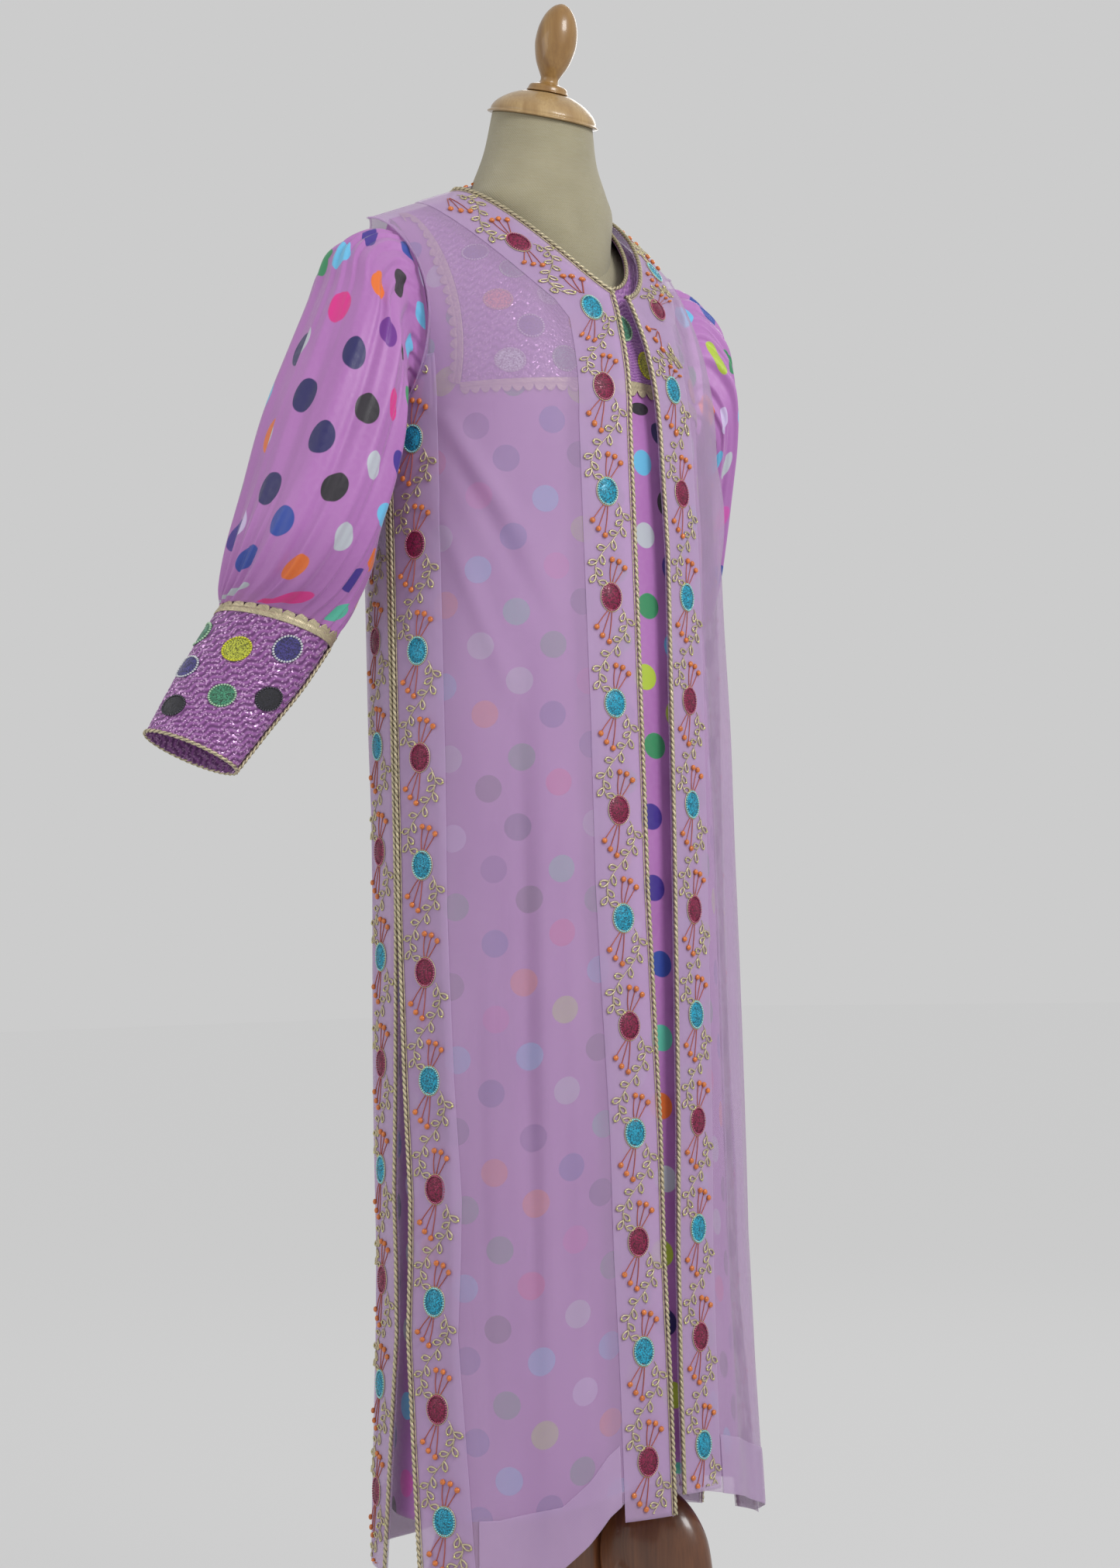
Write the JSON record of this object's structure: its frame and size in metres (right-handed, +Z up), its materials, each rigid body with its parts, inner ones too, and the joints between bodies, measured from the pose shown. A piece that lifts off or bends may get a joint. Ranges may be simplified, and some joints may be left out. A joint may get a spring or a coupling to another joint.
{
  "type": "two-layer thobe on a wooden tripod dress form",
  "caption": "Girl's long satin dress with puff sleeves and deep cuffs under a sheer sleeveless open-front over-thobe with embroidered bands, worn by a limbless dress form on a turned tripod",
  "frame": {"origin": "on the floor, under the middle of the object's box", "axes": "+Z up, the garment's front towards -Y, the wearer's left hand towards +X"},
  "size_m": [0.6082, 0.389, 1.4902],
  "materials": {
    "satin": "soft satin with a sheen, woven with coloured dots",
    "embroidered_satin": "close wavy stitching with a fine glitter",
    "chiffon": "sheer matt chiffon",
    "embroidered_band": "doubled chiffon with beads and gold thread",
    "gold_trim": "twisted metallic gold cord and lace",
    "linen": "plain woven linen",
    "cap_wood": "clear varnish",
    "finial_wood": "clear varnish",
    "stand_wood": "dark stain, satin varnish"
  },
  "bodies": {
    "root": {"dress_front": "satin", "dress_back": "satin", "sleeve_right": "satin", "sleeve_left": "satin", "dress_yoke": "embroidered_satin", "cuff_right": "embroidered_satin", "cuff_left": "embroidered_satin", "thobe_front_right": "chiffon", "thobe_front_left": "chiffon", "thobe_back": "chiffon", "front_band_right": "embroidered_band", "front_band_left": "embroidered_band", "neck_band_back": "embroidered_band", "side_band_front_right": "embroidered_band", "side_band_back_right": "embroidered_band", "side_band_back_left": "embroidered_band", "side_band_front_left": "embroidered_band", "hem_band_front_right": "embroidered_band", "hem_band_front_left": "embroidered_band", "hem_band_back": "embroidered_band", "yoke_trim": "gold_trim", "dress_neck_piping": "gold_trim", "cuff_trim_right": "gold_trim", "cuff_trim_left": "gold_trim", "cuff_piping_right": "gold_trim", "cuff_piping_left": "gold_trim", "front_piping_right": "gold_trim", "front_piping_left": "gold_trim", "neck_piping_back": "gold_trim", "side_piping_front_right": "gold_trim", "side_piping_back_right": "gold_trim", "side_piping_back_left": "gold_trim", "side_piping_front_left": "gold_trim", "form_torso": "linen", "neck_cap": "cap_wood", "finial": "finial_wood", "hub": "stand_wood", "pole": "stand_wood", "leg_right": "stand_wood", "leg_front": "stand_wood", "leg_back": "stand_wood"}
  },
  "joints": []
}
